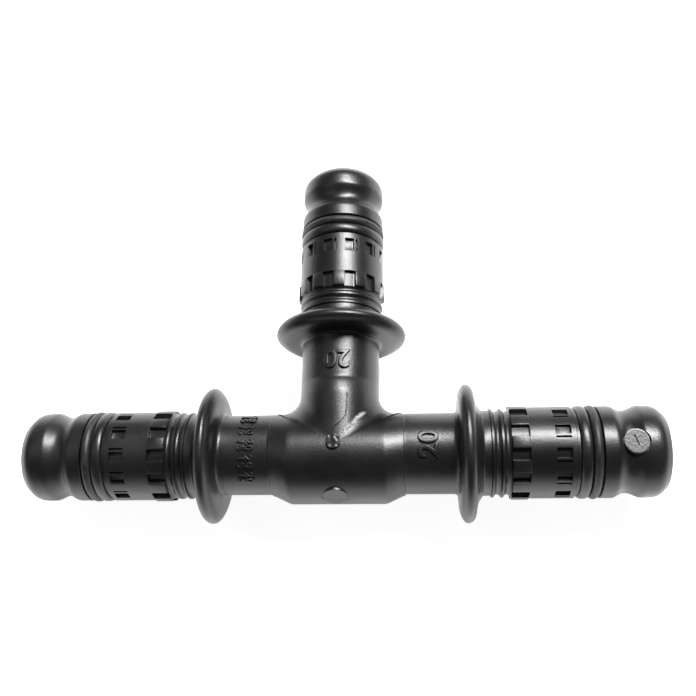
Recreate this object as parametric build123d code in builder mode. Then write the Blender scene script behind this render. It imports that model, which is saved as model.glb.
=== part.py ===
from build123d import *
import os

# Press tee for 20 x 2.5 mm composite pipe: one moulded body and an O-ring on each of its three spigots.
# Millimetres. +X and -X run along the straight run, +Y along the branch, and +Z is up.
# The origin is where the run's axis and the branch's axis cross. The tee lies flat on its three collars.

# ---- Driving dimensions ----
pipe_bore = 15.0          # inside diameter of the pipe that slides over each spigot
pipe_gap = 0.1            # radial play between the pipe and the spigot's smooth bands
groove_wall = 1.0         # wall between the waterway and the floor of the O-ring's groove
mouth_round = 0.4         # rounding of the waterway's mouth at each tip

# Middle: tubes, knuckle, neck and gate
tube_wall = 1.65          # wall of the plain tubes
knuckle_extra = 0.78      # added radius of the knuckle, all of it on the side away from the branch
knuckle_over = 1.35       # how far the full knuckle reaches past the branch's tube along the run
knuckle_ramp = 2.9        # length over which it ramps down to the tube
knuckle_step = 0.12       # small step that is left where the ramp meets the tube
neck_reach = 11.5         # from the origin to the end of the branch's taller neck
neck_proud = 0.25         # how far the neck stands proud of the tube on top and underneath
crotch_round = 3.2        # fillet between the run and the branch
skin = 0.02               # how far the knuckle and the neck cover the tubes where they lie flush
gate_at = (-0.3, 0.3)     # stub that is left on top where the body was injected
gate_d = 2.4
gate_height = 0.3

# Collar that stops the pipe and locates the press jaw
collar_start = 18.9       # from the origin to the inboard foot of the collar
collar_proud = 3.9        # how far the rim stands above the smooth bands
collar_rim = 2.5          # thickness near the rim
collar_lean = 0.75        # how far the inboard face leans outboard from its foot to the rim
collar_foot_round = 0.7   # fillet between the tube and the collar
collar_hub = 1.4          # length of the outboard hub, down to the stub
hub_rise = 1.55           # height of the hub above the stub where it leaves the rim

# Spigot, in order from the collar to the tip
stub_sunk = 0.45          # the plain stub lies this far below the smooth bands
stub_length = 1.1
barb_sunk = 0.17          # crests of the barbs
barb_depth = 0.48         # from a crest down to the rounded valley after it
barb_count = 2
barb_pitch = 1.55
barb_crest = 0.35         # width of a crest
crown_proud = 0.2         # castellated band next to the barbs
crown_length = 2.75
notch_depth = 0.4         # floors of its notches, below the smooth bands
notch_count = 12
notch_width = 1.9
notch_turn = 16.25        # how far the first notch lies round from the arm's zero, in degrees
band_length = 3.95        # smooth band
bar_length = 2.35         # band of raised bars
bar_depth = 0.4           # how far the floor between the bars is sunk
bar_count = 12
bar_wide = 1.6            # width of a wide bar
bar_turn = 2.5            # how far the first wide bar lies round, in degrees
bar_narrow = 0.35         # width of the narrow bar that stands next to each wide one
bar_lag = 10.0            # how far it lies behind the wide one, in degrees
ledge_length = 0.85       # smooth ledge after the bars
slit_length = 0.55        # narrow groove before the rib
slit_depth = 0.45
rib_length = 1.75         # rounded rib that backs up the O-ring
rib_proud = 0.1
ring_cord = 1.6           # section of the O-ring
ring_proud = 0.15         # how far it stands above the smooth bands
ring_squeeze = 0.05       # how much its inner face is flattened on the groove's floor
ring_side_gap = 0.08      # play on each side of the O-ring in its groove
guide_length = 2.2        # smooth ring between the O-ring and the waist
waist_fall = 2.0          # length from the guide ring down to the waist
waist_depth = 0.8
nose_rise = 2.4           # length from the waist up to the nose's widest part
nose_land = 1.0           # length of the nose's widest part
nose_taper = 2.85         # length from there to the tip
tip_sunk = 1.15           # how much smaller the nose is at the very end, in radius
tip_round = 0.6

# ---- What follows from them ----
spigot_r = pipe_bore / 2 - pipe_gap
ring_centre_r = spigot_r + ring_proud - ring_cord / 2
ring_floor_r = ring_centre_r - ring_cord / 2 + ring_squeeze
ring_groove = ring_cord + 2 * ring_side_gap
bore_r = ring_floor_r - groove_wall

tube_r = bore_r + tube_wall
knuckle_r = tube_r + knuckle_extra
knuckle_half = tube_r + knuckle_over

collar_r = spigot_r + collar_proud
stub_r = spigot_r - stub_sunk
hub_r = stub_r + hub_rise
barb_r = spigot_r - barb_sunk
valley_r = barb_r - barb_depth
crown_r = spigot_r + crown_proud
notch_r = spigot_r - notch_depth
bar_floor_r = spigot_r - bar_depth
slit_r = spigot_r - slit_depth
rib_r = spigot_r + rib_proud
waist_r = spigot_r - waist_depth
tip_r = spigot_r - tip_sunk

collar_out = collar_start + collar_lean + collar_rim
stub_start = collar_out + collar_hub
barbs_start = stub_start + stub_length
crown_start = barbs_start + barb_count * barb_pitch
band_start = crown_start + crown_length
bars_start = band_start + band_length
slit_start = bars_start + bar_length + ledge_length
rib_start = slit_start + slit_length
ring_start = rib_start + rib_length
guide_start = ring_start + ring_groove
guide_end = guide_start + guide_length
waist_at = guide_end + waist_fall
nose_at = waist_at + nose_rise
nose_end = nose_at + nose_land
arm_reach = nose_end + nose_taper

# Each arm's plane has its local x outwards along the arm and its local y straight up.
arms = {
    "left": Plane(origin=(0, 0, 0), x_dir=(-1, 0, 0), z_dir=(0, 1, 0)),
    "right": Plane(origin=(0, 0, 0), x_dir=(1, 0, 0), z_dir=(0, -1, 0)),
    "branch": Plane(origin=(0, 0, 0), x_dir=(0, 1, 0), z_dir=(1, 0, 0)),
}


def across(arm, station):
    """Plane square to an arm, at a distance from the origin."""
    return Plane(origin=arm.x_dir * station, x_dir=arm.z_dir, z_dir=arm.x_dir)


def arm_outline():
    """Half outline of one whole arm: local x is the distance from the origin, local y the radius."""
    foot = (collar_start, tube_r)
    face = (collar_start + collar_foot_round, tube_r + collar_foot_round)
    rim_side_r = collar_r - collar_rim / 2
    rim_in = (collar_start + collar_lean, rim_side_r)
    rim_top = (collar_out - collar_rim / 2, collar_r)
    rim_out = (collar_out, rim_side_r)
    hub = (collar_out + collar_hub * 0.35, hub_r)
    hub_end = (stub_start, stub_r)
    with BuildLine() as outline:
        Polyline((0, 0), (0, tube_r), foot)
        RadiusArc(foot, face, collar_foot_round)
        Line(face, rim_in)
        ThreePointArc(rim_in, rim_top, rim_out)
        Line(rim_out, hub)
        Bezier(hub, (collar_out + collar_hub * 0.55, stub_r + hub_rise * 0.1), hub_end)

        # Barbs: narrow crests with a rounded valley after each.
        Polyline(hub_end, (barbs_start, stub_r), (barbs_start, barb_r))
        for number in range(barb_count):
            crest_in = (barbs_start + number * barb_pitch, barb_r)
            crest_out = (crest_in[0] + barb_crest, barb_r)
            valley = (crest_in[0] + (barb_pitch + barb_crest) / 2, valley_r)
            next_crest = (crest_in[0] + barb_pitch, barb_r)
            Line(crest_in, crest_out)
            ThreePointArc(crest_out, valley, next_crest)

        # Castellated crown, smooth band with the bars, slit.
        Polyline(
            (crown_start, barb_r),
            (crown_start, crown_r),
            (band_start, crown_r),
            (band_start, spigot_r),
            (slit_start, spigot_r),
            (slit_start, slit_r),
            (rib_start, slit_r),
        )
        rib_top = (rib_start + rib_length / 2, rib_r)
        ThreePointArc((rib_start, slit_r), rib_top, (ring_start, slit_r))

        # O-ring groove and guide ring.
        Polyline(
            (ring_start, slit_r),
            (ring_start, ring_floor_r),
            (guide_start, ring_floor_r),
            (guide_start, spigot_r),
            (guide_end, spigot_r),
        )
        Spline((guide_end, spigot_r), (waist_at, waist_r), tangents=((1, -0.3), (1, 0)))
        Spline((waist_at, waist_r), (nose_at, spigot_r), tangents=((1, 0), (1, 0)))
        Line((nose_at, spigot_r), (nose_end, spigot_r))
        Spline((nose_end, spigot_r), (arm_reach, tip_r), tangents=((1, 0), (1, -1)))
        Polyline((arm_reach, tip_r), (arm_reach, 0), (0, 0))
    return outline.line


# ---- Tee body: one moulding ----
with BuildPart() as tee_body:
    # Knuckle round the crossing, eccentric so that its branch side stays flush with the tubes.
    with BuildSketch(Plane.YZ.offset(-knuckle_half)):
        with Locations((skin - knuckle_extra, 0)):
            Circle(knuckle_r)
    extrude(amount=2 * knuckle_half)
    for side in (-1, 1):
        with BuildSketch(Plane.YZ.offset(side * knuckle_half)):
            with Locations((skin - knuckle_extra, 0)):
                Circle(knuckle_r)
        with BuildSketch(Plane.YZ.offset(side * (knuckle_half + knuckle_ramp))):
            with Locations((skin - knuckle_step, 0)):
                Circle(tube_r + knuckle_step)
        loft()

    # Neck of the branch, a little taller than it is wide, and the fillet round the crotch.
    with BuildSketch(Plane.XZ):
        Ellipse(tube_r + skin, tube_r + neck_proud)
    extrude(amount=-neck_reach)
    crotch = tee_body.edges().filter_by(GeomType.BSPLINE).filter_by_position(Axis.Y, 0, neck_reach - 1)
    fillet(crotch, radius=crotch_round)

    # Stub that the gate leaves on top of the knuckle.
    with BuildSketch(Plane.XY):
        with Locations(gate_at):
            Circle(gate_d / 2)
    extrude(amount=knuckle_r + gate_height)

    # The three arms, all alike.
    for arm in arms.values():
        with BuildSketch(arm):
            with BuildLine():
                add(arm_outline())
            make_face()
        revolve(axis=Axis((0, 0, 0), arm.x_dir))

    for arm in arms.values():
        # Notches of the crown.
        with BuildSketch(across(arm, crown_start)):
            with PolarLocations(crown_r, notch_count, start_angle=notch_turn):
                Rectangle(2 * (crown_r - notch_r), notch_width)
            Circle(notch_r, mode=Mode.SUBTRACT)
        extrude(amount=crown_length, mode=Mode.SUBTRACT)

        # Sunk floor between the wide and the narrow bars.
        with BuildSketch(across(arm, bars_start)):
            Circle(crown_r)
            Circle(bar_floor_r, mode=Mode.SUBTRACT)
            with PolarLocations(crown_r, bar_count, start_angle=bar_turn):
                Rectangle(4 * bar_depth, bar_wide, mode=Mode.SUBTRACT)
            with PolarLocations(crown_r, bar_count, start_angle=bar_turn - bar_lag):
                Rectangle(4 * bar_depth, bar_narrow, mode=Mode.SUBTRACT)
        extrude(amount=bar_length, mode=Mode.SUBTRACT)

    # Waterways, and the rounded end of each spigot.
    with BuildSketch(Plane.YZ):
        Circle(bore_r)
    extrude(amount=arm_reach, both=True, mode=Mode.SUBTRACT)
    with BuildSketch(Plane.XZ):
        Circle(bore_r)
    extrude(amount=-arm_reach, mode=Mode.SUBTRACT)
    rims = tee_body.edges().filter_by(GeomType.CIRCLE)
    rims = rims.filter_by(lambda rim: abs(rim.arc_center.length - arm_reach) < 0.01)
    fillet(rims.filter_by(lambda rim: abs(rim.radius - bore_r) < 0.01), radius=mouth_round)
    rims = tee_body.edges().filter_by(GeomType.CIRCLE)
    rims = rims.filter_by(lambda rim: abs(rim.arc_center.length - arm_reach) < 0.01)
    fillet(rims.filter_by(lambda rim: abs(rim.radius - tip_r) < 0.01), radius=tip_round)

os.makedirs("parts", exist_ok=True)
tee_body.part.label = "tee_body"
export_step(tee_body.part, "parts/tee_body.step")


# ---- O-rings: one in the groove of each spigot ----
for name, arm in arms.items():
    with BuildPart() as o_ring:
        with BuildSketch(arm):
            with Locations((ring_start + ring_groove / 2, ring_centre_r)):
                Circle(ring_cord / 2)
            # The stretched ring lies flat on the groove's floor.
            with Locations((ring_start + ring_groove / 2, ring_floor_r - ring_cord / 2)):
                Rectangle(2 * ring_cord, ring_cord, mode=Mode.SUBTRACT)
        revolve(axis=Axis((0, 0, 0), arm.x_dir))
    o_ring.part.label = "o_ring_" + name
    export_step(o_ring.part, "parts/o_ring_" + name + ".step")
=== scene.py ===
from math import atan2, cos, hypot, radians, sin, sqrt, tau

import bmesh
import bpy
from mathutils import Matrix, Vector, noise
from mathutils.geometry import interpolate_bezier


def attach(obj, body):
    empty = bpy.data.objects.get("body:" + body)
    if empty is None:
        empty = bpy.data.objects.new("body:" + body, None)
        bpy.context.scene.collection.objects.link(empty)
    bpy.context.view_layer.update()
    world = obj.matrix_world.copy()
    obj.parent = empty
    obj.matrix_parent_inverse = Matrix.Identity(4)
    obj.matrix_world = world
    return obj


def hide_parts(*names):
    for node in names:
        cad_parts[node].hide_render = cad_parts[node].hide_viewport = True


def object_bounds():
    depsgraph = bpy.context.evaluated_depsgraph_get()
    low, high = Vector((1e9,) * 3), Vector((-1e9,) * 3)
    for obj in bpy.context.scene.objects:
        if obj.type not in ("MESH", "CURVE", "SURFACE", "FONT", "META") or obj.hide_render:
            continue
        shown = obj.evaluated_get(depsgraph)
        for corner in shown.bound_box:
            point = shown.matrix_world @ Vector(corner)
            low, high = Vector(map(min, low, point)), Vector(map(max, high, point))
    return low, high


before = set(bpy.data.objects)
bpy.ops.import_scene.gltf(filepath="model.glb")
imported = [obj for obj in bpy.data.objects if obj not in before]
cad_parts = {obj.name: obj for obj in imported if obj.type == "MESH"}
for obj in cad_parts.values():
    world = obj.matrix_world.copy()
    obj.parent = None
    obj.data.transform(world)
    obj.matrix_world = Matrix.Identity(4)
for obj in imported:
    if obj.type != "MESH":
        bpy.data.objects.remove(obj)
cad_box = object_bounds()


# ---- Moulded body ----
# Knuckle, three plain tubes, three collars and three spigots in one shot of black engineering
# plastic. Two mould halves meet at z = 0, and core pins drawn out of the tips leave the waterway.
# Outlines and shapes are drawn in millimetres and brought to metres when a mesh is finished.
MM = 0.001
scene = bpy.context.scene

# Sizes along an arm, as stations from the tee's centre, and radii from the arm's axis.
TUBE_END = 18.72
TUBE_R = 6.65
BORE_R = 5.0
SPIGOT_R = 7.4
CROWN_R = 7.6
STUB_R = 6.95
BARB_R = 7.23
VALLEY_R = 6.75
CREST = 0.35
CROWN_AT = 27.75
BAND_AT = 30.5
BARS_AT = 34.45
BARS_END = 36.8
SLIT_AT = 37.65
RIB_AT = 38.2
GROOVE_AT = 39.95
GROOVE_END = 41.71
GROOVE_R = 6.0
REACH = 52.16
BARB_CRESTS = (24.65, 26.2)
BARB_PITCH = 1.55
# Pockets of the crown and the bars: their floor, the share of their length that it has, and the
# break of their edges.
POCKET_FLOOR_R = 6.78
POCKET_TAPER = 0.965
CORNER = 0.06


def flow(outline, leave, arrive, target, steps):
    """Carries an outline on to a target along one Bezier curve, given how it leaves and arrives."""
    start, end = Vector(outline[-1]).to_3d(), Vector(target).to_3d()
    handle = start + Vector(leave).to_3d()
    other = end - Vector(arrive).to_3d()
    curve = interpolate_bezier(start, handle, other, end, steps + 1)
    outline += [(p.x, p.y) for p in curve[1:]]


def spigot_outline():
    """(station, radius) points of one spigot's outer wall: collar, hub, stub, two barbs, crown,
    smooth band, bars, slit, backing rib, groove, guide ring, waist and rounded nose."""
    line = [(TUBE_END, TUBE_R)]
    # Collar: small foot fillet, leaning face, full-round rim, and a hub that sweeps to the stub.
    flow(line, (0.4, 0.0), (0.03, 0.5), (19.5, 7.35), 5)
    line += [(19.56, 8.3), (19.64, 9.4)]
    flow(line, (0.05, 0.6), (0.68, 0.0), (20.9, 11.3), 8)
    flow(line, (0.7, 0.0), (0.02, -0.6), (22.15, 10.05), 7)
    line += [(22.3, 9.3)]
    flow(line, (0.12, -0.62), (0.22, -0.25), (22.86, 7.72), 4)
    flow(line, (0.2, -0.28), (0.3, -0.02), (23.55, STUB_R), 5)
    line += [(24.55, STUB_R)]
    # Barbs: a steep face up to a narrow crest, then a rounded valley.
    for crest in BARB_CRESTS:
        line += [(crest, BARB_R - 0.05), (crest + 0.05, BARB_R)]
        line += [(crest + CREST, BARB_R)]
        middle = crest + CREST + (BARB_PITCH - CREST) / 2
        flow(line, (0.12, -0.3), (0.22, 0.0), (middle, VALLEY_R), 4)
        flow(line, (0.26, 0.0), (0.1, 0.26), (crest + 1.52, BARB_R - 0.08), 4)
    # Crown, smooth band and bars. Their corners are broken after the pockets are cut, and a pair of
    # points 0.14 beside each edge keeps the shading of the band level.
    line += [(CROWN_AT, BARB_R - 0.02), (CROWN_AT + 0.05, CROWN_R)]
    line += [(BAND_AT - 0.05, CROWN_R), (BAND_AT, SPIGOT_R)]
    line += [(BAND_AT + 0.14, SPIGOT_R), (BARS_AT - 0.14, SPIGOT_R)]
    line += [(BARS_AT, SPIGOT_R), (BARS_END, SPIGOT_R), (BARS_END + 0.14, SPIGOT_R)]
    line += [(SLIT_AT - 0.06, SPIGOT_R), (SLIT_AT, SPIGOT_R - 0.07), (SLIT_AT + 0.04, STUB_R)]
    line += [(RIB_AT - 0.04, STUB_R)]
    # Rounded rib that backs up the ring, and the groove.
    flow(line, (0.02, 0.42), (0.45, 0.0), ((RIB_AT + GROOVE_AT) / 2 + 0.05, SPIGOT_R + 0.1), 6)
    flow(line, (0.45, 0.0), (0.02, -0.3), (GROOVE_AT, SPIGOT_R - 0.35), 6)
    line += [(GROOVE_AT, GROOVE_R), (GROOVE_END, GROOVE_R)]
    line += [(GROOVE_END, SPIGOT_R - 0.12), (GROOVE_END + 0.1, SPIGOT_R)]
    # Guide ring, waist, nose and the rounded end.
    line += [(42.8, SPIGOT_R), (43.5, SPIGOT_R)]
    flow(line, (0.95, 0.0), (1.1, 0.0), (45.75, 6.62), 10)
    flow(line, (1.2, 0.0), (0.75, 0.0), (48.35, SPIGOT_R), 12)
    flow(line, (1.5, 0.0), (0.8, -0.75), (51.42, 6.7), 9)
    flow(line, (0.42, -0.42), (0.0, -0.45), (REACH, 5.75), 6)
    return line


# 144 steps make one turn, so a step is 2.5 degrees and the pockets begin and end on steps.
# Each of the 12 teeth with its pocket takes 12 of them.
STEPS = 144
TOOTH_STEPS = 12
FIRST_STEP = radians(-21.25)
CROWN_POCKET = (0, 1, 2, 3, 4, 5)
BAR_POCKET = (0, 1, 2, 3, 4, 6)


def turned_about(axis, degrees):
    return Matrix.Rotation(radians(degrees), 3, axis)


def rotate_all(mesh, matrix):
    bmesh.ops.rotate(mesh, verts=mesh.verts, cent=(0, 0, 0), matrix=matrix)


def turn(mesh, line):
    """Spins a (station, radius) outline round X."""
    ring = [mesh.verts.new((x, 0, r)) for x, r in line]
    edges = [mesh.edges.new(pair) for pair in zip(ring, ring[1:])]
    bmesh.ops.rotate(mesh, verts=ring, cent=(0, 0, 0), matrix=Matrix.Rotation(FIRST_STEP, 3, "X"))
    bmesh.ops.spin(
        mesh, geom=ring + edges, cent=(0, 0, 0), axis=(1, 0, 0), dvec=(0, 0, 0),
        angle=tau, steps=STEPS, use_merge=True, use_duplicate=False,
    )


def step_of(point):
    """Which step of the turn a point lies in, counted from the first pocket."""
    return int((atan2(-point.y, point.z) - FIRST_STEP) % tau / tau * STEPS)


def sink(mesh, first, last, steps):
    """Cuts pockets into the wall between two stations, over those steps of every tooth's share."""
    faces = [
        f for f in mesh.faces
        if first < f.calc_center_median().x < last
        and hypot(f.calc_center_median().y, f.calc_center_median().z) > SPIGOT_R - 0.3
        and step_of(f.calc_center_median()) % TOOTH_STEPS in steps
    ]
    grown = bmesh.ops.extrude_face_region(mesh, geom=faces)["geom"]
    bmesh.ops.delete(mesh, geom=faces, context="FACES_ONLY")
    middle = (first + last) / 2
    for v in (g for g in grown if isinstance(g, bmesh.types.BMVert)):
        r = hypot(v.co.y, v.co.z)
        v.co.y *= POCKET_FLOOR_R / r
        v.co.z *= POCKET_FLOOR_R / r
        v.co.x = middle + (v.co.x - middle) * POCKET_TAPER


# Edges that turn more than this stay sharp.
CREASE = radians(38)


def finish_mesh(mesh, name):
    """Makes the mesh an object in metres, with smooth shading broken at its creases."""
    bmesh.ops.recalc_face_normals(mesh, faces=mesh.faces)
    bmesh.ops.scale(mesh, vec=(MM, MM, MM), verts=mesh.verts)
    data = bpy.data.meshes.new(name)
    mesh.to_mesh(data)
    mesh.free()
    data.shade_smooth()
    data.set_sharp_from_angle(angle=CREASE)
    piece = bpy.data.objects.new(name, data)
    scene.collection.objects.link(piece)
    return piece


def make_spigot():
    """The outer wall of one spigot along +X, open at the tube and closed by a flat end at the tip."""
    mesh = bmesh.new()
    turn(mesh, spigot_outline())
    sink(mesh, CROWN_AT - 0.02, BAND_AT + 0.02, CROWN_POCKET)
    sink(mesh, BARS_AT, BARS_END, BAR_POCKET)
    corners = [
        e for e in mesh.edges
        if len(e.link_faces) == 2 and e.calc_face_angle() > radians(40)
        and CROWN_AT - 0.3 < (e.verts[0].co.x + e.verts[1].co.x) / 2 < BARS_END + 0.3
    ]
    bmesh.ops.bevel(
        mesh, geom=corners, offset=CORNER, offset_type="OFFSET", affect="EDGES", segments=2,
        profile=0.5, material=-1, clamp_overlap=True,
    )
    end = [e for e in mesh.edges if e.is_boundary and e.verts[0].co.x > REACH - 0.1]
    bmesh.ops.contextual_create(mesh, geom=end)
    return mesh


def place_spigot(mesh, degrees):
    """Adds a spigot to a mesh, turned about Z to its arm."""
    spigot = make_spigot()
    rotate_all(spigot, turned_about("Z", degrees))
    data = bpy.data.meshes.new("spigot")
    spigot.to_mesh(data)
    spigot.free()
    mesh.from_mesh(data)
    bpy.data.meshes.remove(data)


# The knuckle is a thicker, dropped length of the run's tube with ramps to both sides.
KNUCKLE_R = 7.43
KNUCKLE_DROP = 0.78
JOINED = 0.003


def knuckle_share(x):
    """How much of the knuckle is there at a station of the run: 1 in the middle, 0 in the tubes."""
    x = abs(x)
    stops = [(0, 1), (7.5, 1), (7.8, 0.98), (8.1, 0.92), (8.5, 0.8), (10.45, 0.22), (10.7, 0.17)]
    stops += [(10.84, 0.15), (10.94, 0.03), (11.05, 0), (19, 0)]
    for (x0, s0), (x1, s1) in zip(stops, stops[1:]):
        if x <= x1:
            return s0 + (s1 - s0) * (x - x0) / (x1 - x0)


def make_run():
    """The run's outer wall, closed at both tips."""
    stations = [0, 2.5, 5, 7, 7.5, 7.65, 7.8, 7.95, 8.1, 8.3, 8.5, 9.2, 9.9, 10.45, 10.6, 10.7, 10.78]
    stations += [10.84, 10.89, 10.94, 11.0, 11.05, 11.2, 12.5, 14.5, 16.5, TUBE_END]
    stations = [-x for x in reversed(stations[1:])] + stations
    mesh = bmesh.new()
    turn(mesh, [(x, TUBE_R) for x in stations])
    for v in mesh.verts:
        share = knuckle_share(v.co.x)
        grow = 1 + KNUCKLE_DROP * share / TUBE_R
        v.co.y = v.co.y * grow - KNUCKLE_DROP * share
        v.co.z *= grow
    place_spigot(mesh, 0)
    place_spigot(mesh, 180)
    bmesh.ops.remove_doubles(mesh, verts=mesh.verts, dist=JOINED)
    return mesh


# The branch has a taller neck, joined to the knuckle by a rolling-ball fillet.
CROTCH_R = 3.2
NECK_FRONT = 0.64
NECK_SPREAD = 9.9
# The fillet runs on a little below the knuckle's skin, and then its foot is tucked in.
FILLET_END = 1.15
TUCK_SHARE = 0.6
TUCK_DROP = 2.5
RING_GAP = 40
# How far the neck's front stands proud of the tube: a cone from the step up to the level front.
NECK_PROUD = (
    (0, 0.64), (8.2, 0.64), (8.6, 0.637), (8.9, 0.622), (9.2, 0.595), (9.6, 0.54), (10.2, 0.43),
    (10.8, 0.29), (11.2, 0.14), (11.4, 0.07), (11.5, 0.045), (11.75, 0),
)


def neck_proud(y):
    """How far the neck's front stands proud at a height of the branch."""
    for (y0, p0), (y1, p1) in zip(NECK_PROUD, NECK_PROUD[1:]):
        if y <= y1:
            return p0 + (p1 - p0) * max(0, y - y0) / (y1 - y0)
    return 0


def skirt(direction, share):
    """Point of the crotch fillet below one direction of the neck's ring: a ball of the fillet's
    radius touches the neck at share 0 and the knuckle at share 1."""
    side, front = direction
    wall = Vector((TUBE_R * side, 0, (TUBE_R + NECK_FRONT) * front))
    out = Vector((side / TUBE_R, 0, front / (TUBE_R + NECK_FRONT))).normalized()
    ball = wall + out * CROTCH_R
    reach = KNUCKLE_R + CROTCH_R
    ball.y = sqrt(reach ** 2 - ball.z ** 2) - KNUCKLE_DROP
    down = Vector((0, ball.y + KNUCKLE_DROP, ball.z)) / reach
    angle = out.angle(down)
    arm = (out * sin((1 - share) * angle) + down * sin(share * angle)) / sin(angle)
    return ball - arm * CROTCH_R


def make_branch():
    """The branch's outer wall, whose foot dips into the knuckle. Its rings are spun wide apart,
    and then each is brought to its level."""
    mesh = bmesh.new()
    heights = [TUBE_END, 16.5, 14.5, 12.5, 11.9, 11.75, 11.6, 11.5, 11.4, 11.2, 10.8, 10.5, 10.2]
    heights += [NECK_SPREAD]
    shares = [0.033, 0.056, 0.078, 0.1, 0.134, 0.18, 0.25, 0.35, 0.45, 0.55, 0.65, 0.75, 0.84, 0.92]
    levels = [("wall", y) for y in heights]
    levels += [("neck", share) for share in shares]
    levels += [("skirt", n / 14) for n in range(15)] + [("skirt", FILLET_END), ("tuck", 1)]
    turn(mesh, [(TUBE_END + RING_GAP * n, TUBE_R) for n in range(len(levels))])
    for v in mesh.verts:
        kind, value = levels[round((v.co.x - TUBE_END) / RING_GAP)]
        # The ring's direction, with the arm turned from +X to +Y.
        side, front = -v.co.y / TUBE_R, v.co.z / TUBE_R
        if kind == "skirt":
            v.co = skirt((side, front), value)
        elif kind == "tuck":
            foot = skirt((side, front), FILLET_END)
            v.co = (foot.x * TUCK_SHARE, foot.y - TUCK_DROP, foot.z * TUCK_SHARE)
        else:
            y = value
            if kind == "neck":
                foot = skirt((side, front), 0).y
                y = foot + (NECK_SPREAD - foot) * (1 - value)
            v.co = (side * TUBE_R, y, front * (TUBE_R + neck_proud(y)))
    place_spigot(mesh, 90)
    bmesh.ops.remove_doubles(mesh, verts=mesh.verts, dist=JOINED)
    bmesh.ops.contextual_create(mesh, geom=[e for e in mesh.edges if e.is_boundary])
    return mesh


# The waterway: one core pin through the run and one from the middle through the branch.
MOUTH_FLARE = 0.4


def make_bore(name, through, twist, degrees):
    """A core pin of the mould with a small flare at each open mouth, from tip to tip or from the
    middle. A twist keeps the facets of the two pins from lying on each other."""
    flare = []
    for n in range(6):
        a = radians(90 * n / 5)
        flare.append((REACH - MOUTH_FLARE * (1 - sin(a)), BORE_R + MOUTH_FLARE * (1 - cos(a))))
    flare.append((REACH + 1, BORE_R + MOUTH_FLARE))
    other_end = [(-x, r) for x, r in reversed(flare)] if through else [(0, BORE_R)]
    mesh = bmesh.new()
    turn(mesh, other_end + flare)
    for x in (other_end[0][0], flare[-1][0]):
        rim = [e for e in mesh.edges if e.is_boundary and abs(e.verts[0].co.x - x) < 0.01]
        bmesh.ops.contextual_create(mesh, geom=rim)
    rotate_all(mesh, turned_about("Z", degrees) @ turned_about("X", twist))
    return finish_mesh(mesh, name)


# Edges shorter than this are dropped after solids are joined.
SLIVER = 1e-6


def join_solids(first, others):
    """Applies each (operation, object) to the first object and removes the others."""
    for operation, other in others:
        cut = first.modifiers.new(operation, "BOOLEAN")
        cut.operation = operation
        cut.solver = "MANIFOLD"
        cut.object = other
    shape = first.evaluated_get(bpy.context.evaluated_depsgraph_get())
    data = bpy.data.meshes.new_from_object(shape)
    for item in [first] + [other for operation, other in others]:
        used = item.data
        bpy.data.objects.remove(item)
        bpy.data.meshes.remove(used)
    mesh = bmesh.new()
    mesh.from_mesh(data)
    bmesh.ops.dissolve_degenerate(mesh, dist=SLIVER, edges=mesh.edges)
    mesh.to_mesh(data)
    mesh.free()
    return data


run = finish_mesh(make_run(), "run")
branch = finish_mesh(make_branch(), "branch")
run_bore = make_bore("run_bore", True, 0.0, 0)
branch_bore = make_bore("branch_bore", False, 0.9, 90)

# Two flats in the wall, each (centre, lean from +Z about X in degrees, radius): the end of an
# ejector pin under the knuckle, and the cavity's number disc in the right spigot's nose.
PIN_FLAT = ((-0.25, -7.66, 2.85), 69, 2.1)
CAVITY_FLAT = ((46.62, -0.1, 7.06), 0, 1.98)
FLAT_GAP = 0.08
ROUND = 72


def stand(mesh, centre, lean):
    """Leans a mesh drawn round the Z axis and moves it to its centre."""
    rotate_all(mesh, turned_about("X", lean))
    bmesh.ops.translate(mesh, verts=mesh.verts, vec=centre)


def flat_cutter(name, centre, lean, radius):
    """Clears the wall above a flat, and a narrow gap round it."""
    mesh = bmesh.new()
    wide = radius + FLAT_GAP
    bmesh.ops.create_cone(mesh, cap_ends=True, segments=ROUND, radius1=wide, radius2=wide, depth=2)
    bmesh.ops.translate(mesh, verts=mesh.verts, vec=(0, 0, 0.88))
    stand(mesh, centre, lean)
    return finish_mesh(mesh, name)


pin_cut = flat_cutter("pin_cut", *PIN_FLAT)
cavity_cut = flat_cutter("cavity_cut", *CAVITY_FLAT)
body_data = join_solids(
    run, [("UNION", branch), ("DIFFERENCE", run_bore), ("DIFFERENCE", branch_bore),
          ("DIFFERENCE", pin_cut), ("DIFFERENCE", cavity_cut)]
)
body_data.name = "moulded_body"
body_data.materials.clear()
body_data.shade_smooth()
body_data.set_sharp_from_angle(angle=CREASE)
body = bpy.data.objects.new("moulded_body", body_data)
scene.collection.objects.link(body)
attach(body, "root")
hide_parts("tee_body")


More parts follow.
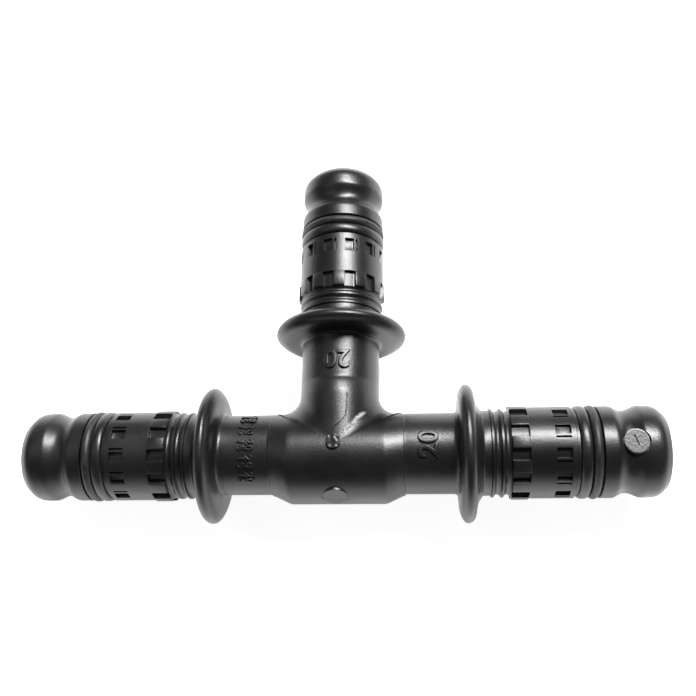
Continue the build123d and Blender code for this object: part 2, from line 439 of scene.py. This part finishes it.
# Its black plastic has the fine grain of the steel mould, faint flow marks from the gate, and a
# weld line where two flows met on the neck. Grainy light specks along the flow scar are painted
# highlight.
class Shade:
    """A socket of a material's nodes. Arithmetic adds Math nodes, and node() adds any other node."""

    def __init__(self, tree, socket=None):
        self.tree = tree
        self.socket = socket

    def node(self, kind, settings, inputs, output=0):
        """Its settings are set first, then the values or links of its sockets."""
        made = self.tree.nodes.new(kind)
        for name, value in settings.items():
            setattr(made, name, value)
        for key, value in inputs.items():
            if isinstance(value, Shade):
                self.tree.links.new(value.socket, made.inputs[key])
            else:
                made.inputs[key].default_value = value
        return Shade(self.tree, made.outputs[output])

    def maths(self, operation, first, second=0.0):
        return self.node("ShaderNodeMath", {"operation": operation}, {0: first, 1: second})

    def __add__(self, other):
        return self.maths("ADD", self, other)

    def __sub__(self, other):
        return self.maths("SUBTRACT", self, other)

    def __rsub__(self, other):
        return self.maths("SUBTRACT", other, self)

    def __mul__(self, other):
        return self.maths("MULTIPLY", self, other)

    def __truediv__(self, other):
        return self.maths("DIVIDE", self, other)

    def __rtruediv__(self, other):
        return self.maths("DIVIDE", other, self)

    def __abs__(self):
        return self.maths("ABSOLUTE", self)

    __radd__ = __add__
    __rmul__ = __mul__

    def rise(self, low, high):
        """0 below low, 1 above high, smooth between."""
        settings = {"interpolation_type": "SMOOTHSTEP"}
        inputs = {"Value": self, "From Min": low, "From Max": high}
        return self.node("ShaderNodeMapRange", settings, inputs)

    def noise(self, scale, detail):
        """Noise of about that many grains to the millimetre, where self is a position."""
        inputs = {"Vector": self, "Scale": scale, "Detail": detail, "Roughness": 0.6}
        return self.node("ShaderNodeTexNoise", {}, inputs, "Fac")

    def between(self, dark, light):
        """A grey between two others, where self is the share."""
        inputs = {0: self, 6: (dark, dark, dark * 1.05, 1), 7: (light, light, light * 1.03, 1)}
        return self.node("ShaderNodeMix", {"data_type": "RGBA"}, inputs, 2)

    def bump(self):
        """The normal of a relief, where self is its height in millimetres."""
        inputs = {"Height": self, "Strength": 1.0, "Distance": MM}
        return self.node("ShaderNodeBump", {}, inputs, "Normal")


def new_finish(name):
    """A material, its shader node, and the position on the tee in millimetres."""
    material = bpy.data.materials.new(name)
    material.use_nodes = True
    tree = material.node_tree
    place = Shade(tree).node("ShaderNodeTexCoord", {}, {}, "Object")
    place = place.node("ShaderNodeMapping", {}, {"Vector": place, "Scale": (1000, 1000, 1000)})
    return material, tree.nodes["Principled BSDF"], place


def paint(shader, name, shade):
    """Feeds one of a shader's sockets."""
    shade.tree.links.new(shade.socket, shader.inputs[name])


moulded, skin, place = new_finish("black_moulding")
x, y, z = (place.node("ShaderNodeSeparateXYZ", {}, {"Vector": place}, n) for n in range(3))
grain = place.noise(6.0, 4.0)
speckle = place.noise(2.6, 2.0)
ripple = place.noise(0.55, 2.0)
cloud = place.noise(0.16, 3.0)
front = z.rise(3.0, 4.5)

# Weld line: it leaves the gate to the left, swings over to the right and climbs the neck.
swing = 1 / (1 + place.maths("EXPONENT", (y - 3.1) / 0.65))
from_weld = x - 1.8 + swing * 3.0 + (ripple - 0.5) * 0.4
weld = (1 - abs(from_weld).rise(0.02, 0.13)) * y.rise(1.7, 2.3) * (1 - y.rise(8.2, 8.9)) * front
# Flow scar from the gate along the crotch on the right: its relief is real, its light specks are
# painted highlight.
along = (x - 1.1) * 0.67 + (y - 1.7) * 0.743
aside = (x - 1.1) * 0.743 - (y - 1.7) * 0.67 + (ripple - 0.5) * 0.7
scar = (1 - abs(aside).rise(0.02, 0.42)) * along.rise(-0.3, 0.4) * (1 - along.rise(4.4, 5.6)) * front
# Parting line of the mould's two halves.
parting = 1 - abs(z).rise(0.0, 0.07)

relief = grain * 0.01 + speckle * 0.02 + ripple * 0.01
relief = relief + scar * (grain - 0.5) * 0.25 + parting * 0.02 - weld * 0.035
paint(skin, "Normal", relief.bump())
paint(skin, "Roughness", 0.25 + cloud * 0.12 + grain * 0.06 + scar * 0.1)
# Painted highlight: the colour turns near white in grainy specks along the scar.
scar_painted_glints = scar * grain.rise(0.35, 0.62)
paint(skin, "Base Color", (cloud.rise(0.3, 0.7) * 0.006 + scar_painted_glints).between(0.0045, 0.65))
body.data.materials.append(moulded)


# ---- Marks left by the mould ----
# The torn stub of the gate, the flat end of an ejector pin, the cavity's disc with its number, and
# the raised pipe sizes. They are the body's own plastic, shaped by the mould's steel.
def post(name, centre, lean, radius, height, rounding, rough=0.0, grains=1.0):
    """A low round post with its top's centre there, its edge broken and its top a little torn."""
    mesh = bmesh.new()
    bmesh.ops.create_cone(
        mesh, cap_ends=True, segments=ROUND, radius1=radius, radius2=radius, depth=height,
    )
    bmesh.ops.translate(mesh, verts=mesh.verts, vec=(0, 0, -height / 2))
    rim = [e for e in mesh.edges if min(v.co.z for v in e.verts) > -0.01]
    bmesh.ops.bevel(
        mesh, geom=rim, offset=rounding, offset_type="OFFSET", affect="EDGES", segments=3,
        profile=0.5, material=-1, clamp_overlap=True,
    )
    top = [f for f in mesh.faces if f.normal.z > 0.99]
    for n in range(9):
        bmesh.ops.inset_region(mesh, faces=top, thickness=(radius - rounding) * 0.098)
    bmesh.ops.poke(mesh, faces=top)
    for v in mesh.verts:
        if v.co.z > -rounding / 4:
            v.co.z += rough * noise.noise(Vector((v.co.x * grains, v.co.y * grains, 3.0)))
    stand(mesh, centre, lean)
    return finish_mesh(mesh, name)


# Half the depth of the digits' straight side, and how much of a font's size its digits take.
DIGIT_SIDE = 0.06
DIGIT_SHARE = 0.7


def flat_digits(name, text, height, bold, depth=DIGIT_SIDE, spacing=1.0):
    """Digits of that height as a closed mesh lying in XY, as thick above Z = 0 as below it."""
    curve = bpy.data.curves.new(name, "FONT")
    curve.body = text
    curve.size = height / DIGIT_SHARE
    curve.space_character = spacing
    curve.align_x = "CENTER"
    curve.align_y = "CENTER"
    curve.extrude = depth
    curve.bevel_depth = bold
    curve.bevel_resolution = 3
    source = bpy.data.objects.new(name, curve)
    scene.collection.objects.link(source)
    shape = source.evaluated_get(bpy.context.evaluated_depsgraph_get())
    data = bpy.data.meshes.new_from_object(shape)
    mesh = bmesh.new()
    mesh.from_mesh(data)
    bpy.data.objects.remove(source)
    bpy.data.curves.remove(curve)
    bpy.data.meshes.remove(data)
    bmesh.ops.remove_doubles(mesh, verts=mesh.verts, dist=0.001)
    return mesh


def dress(piece):
    """Gives a mark the body's plastic."""
    piece.data.materials.append(moulded)
    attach(piece, "root")


# How deep a raised digit's root lies in the tube.
DIGIT_ROOT = 0.06


def raised_number(name, text, height, degrees, station, lift, spacing=1.0):
    """Raised digits wrapped round a tube: their tops point to the middle of the tee."""
    bold = 0.14 * min(1, height / 2)
    mesh = flat_digits(name, text, height, bold, spacing=spacing)
    low = min(v.co.x for v in mesh.verts)
    high = max(v.co.x for v in mesh.verts)
    cuts = int((high - low) / 0.25)
    for n in range(1, cuts):
        bmesh.ops.bisect_plane(
            mesh, geom=mesh.verts[:] + mesh.edges[:] + mesh.faces[:], dist=1e-5,
            plane_co=(low + (high - low) * n / cuts, 0, 0), plane_no=(1, 0, 0),
        )
    # Reading along +Y with the tops towards -X fits the right arm, and the other arms are turned.
    thick = 2 * (bold + DIGIT_SIDE)
    for v in mesh.verts:
        angle = v.co.x / TUBE_R
        r = TUBE_R - DIGIT_ROOT + (v.co.z / thick + 0.5) * (lift + DIGIT_ROOT)
        v.co = (station - v.co.y, r * sin(angle), r * cos(angle))
    rotate_all(mesh, turned_about("Z", degrees))
    dress(finish_mesh(mesh, name))


dress(post("gate_stub", (-0.3, 0.24, 7.9), 2, 1.2, 1.5, 0.1, rough=0.1, grains=1.3))
dress(post("pin_disc", *PIN_FLAT, 0.9, 0.05))
raised_number("size_right", "20", 3.0, 0, 14.85, 0.38)
raised_number("size_branch", "20", 3.0, 90, 14.7, 0.38)
raised_number("sizes_left_inner", "20 20 20 20 20", 1.2, 180, 14.0, 0.28, spacing=1.18)
raised_number("sizes_left_outer", "15 15 15 15 15", 1.2, 180, 15.35, 0.28, spacing=1.18)
# The cavity's disc has its number cut into it.
number = flat_digits("cavity_number", "1", 1.6, 0.0, depth=0.15)
rotate_all(number, turned_about("Z", 18))
bmesh.ops.translate(number, verts=number.verts, vec=CAVITY_FLAT[0])
disc = post("cavity_blank", *CAVITY_FLAT, 1.2, 0.05, rough=0.012, grains=3.0)
disc_data = join_solids(disc, [("DIFFERENCE", finish_mesh(number, "cavity_number"))])
disc_data.name = "cavity_disc"
disc_data.materials.clear()
disc = bpy.data.objects.new("cavity_disc", disc_data)
scene.collection.objects.link(disc)
dress(disc)


# ---- O-rings ----
# One black rubber ring of 1.6 mm cord in the groove of each spigot, stretched so that its inner
# face lies flat on the groove's floor. It is moulded in halves and keeps a fine parting line.
CORD_R = 0.8
RING_CENTRE_R = 6.75


def make_ring(name, degrees):
    """The ring of the arm at that angle about Z."""
    mesh = bmesh.new()
    bmesh.ops.create_circle(mesh, segments=40, radius=CORD_R)
    middle = (GROOVE_AT + GROOVE_END) / 2
    for v in mesh.verts:
        across, up = v.co.x, v.co.y
        # The parting line stands a hair proud at the outermost point.
        up += 0.02 * max(0, 1 - abs(across) / 0.13) * (up > 0)
        v.co = (middle + across, 0, max(RING_CENTRE_R + up, GROOVE_R))
    bmesh.ops.spin(
        mesh, geom=mesh.verts[:] + mesh.edges[:], cent=(0, 0, 0), axis=(1, 0, 0), dvec=(0, 0, 0),
        angle=tau, steps=160, use_merge=True, use_duplicate=False,
    )
    bmesh.ops.remove_doubles(mesh, verts=mesh.verts, dist=0.0005)
    rotate_all(mesh, turned_about("Z", degrees))
    piece = finish_mesh(mesh, name)
    piece.data.materials.append(rubber)
    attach(piece, "root")
    return piece


rubber, skin, place = new_finish("ring_rubber")
bloom = place.noise(0.9, 3.0)
pits = place.noise(8.0, 4.0)
paint(skin, "Normal", (pits * 0.012).bump())
paint(skin, "Roughness", 0.34 + bloom * 0.22 + pits * 0.08)
paint(skin, "Base Color", bloom.rise(0.3, 0.7).between(0.006, 0.016))
for arm, degrees in (("right", 0), ("branch", 90), ("left", 180)):
    ring = make_ring("seal_ring_" + arm, degrees)
    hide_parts("o_ring_" + arm)


# ---- Camera, floor and light ----
# A pale table that glows softly, a wide soft lamp high behind the branch, a weak one on the left,
# and a room that is pale at the horizon and dim overhead. The camera looks down from the front.
camera_data = bpy.data.cameras.new("camera")
camera_data.lens = 41.82
camera_data.sensor_width = 36
camera_data.clip_start = 0.005
camera = bpy.data.objects.new("camera", camera_data)
scene.collection.objects.link(camera)
camera.rotation_mode = "ZYX"
camera.location = (13.39 * MM, -32.68 * MM, 131.12 * MM)
camera.rotation_euler = (radians(21.5), radians(4.94), radians(-1.2))
scene.camera = camera

room = bpy.data.worlds.new("room")
room.use_nodes = True
sky = room.node_tree.nodes["Background"]
facing = Shade(room.node_tree).node("ShaderNodeTexCoord", {}, {}, "Generated")
level = facing.node("ShaderNodeSeparateXYZ", {}, {"Vector": facing}, "Z")
sky.inputs["Color"].default_value = (1, 1, 1, 1)
paint(sky, "Strength", 0.86 - level.rise(0.02, 0.3) * 0.8)
scene.world = room


def soft_lamp(name, place, width, depth, watts):
    """A rectangular lamp that faces the tee's centre."""
    data = bpy.data.lights.new(name, "AREA")
    data.shape = "RECTANGLE"
    data.size = width
    data.size_y = depth
    data.energy = watts
    lamp = bpy.data.objects.new(name, data)
    lamp.location = place
    lamp.rotation_euler = Vector(place).to_track_quat("Z", "Y").to_euler()
    scene.collection.objects.link(lamp)


soft_lamp("window", (0.19, 0.35, 0.60), 0.38, 0.16, 11)
soft_lamp("fill", (-0.35, 0.05, 0.55), 0.35, 0.35, 0.25)

table = bmesh.new()
bmesh.ops.create_grid(table, x_segments=1, y_segments=1, size=1500)
bmesh.ops.translate(table, vec=(0, 0, cad_box[0].z / MM), verts=table.verts)
floor = finish_mesh(table, "floor")
pale = bpy.data.materials.new("pale_floor")
pale.use_nodes = True
gloss = pale.node_tree.nodes["Principled BSDF"]
gloss.inputs["Base Color"].default_value = (0.8, 0.8, 0.8, 1)
gloss.inputs["Roughness"].default_value = 0.8
gloss.inputs["Specular IOR Level"].default_value = 0.1
gloss.inputs["Emission Color"].default_value = (1, 1, 1, 1)
gloss.inputs["Emission Strength"].default_value = 0.9
floor.data.materials.append(pale)
scene.view_settings.view_transform = "Standard"
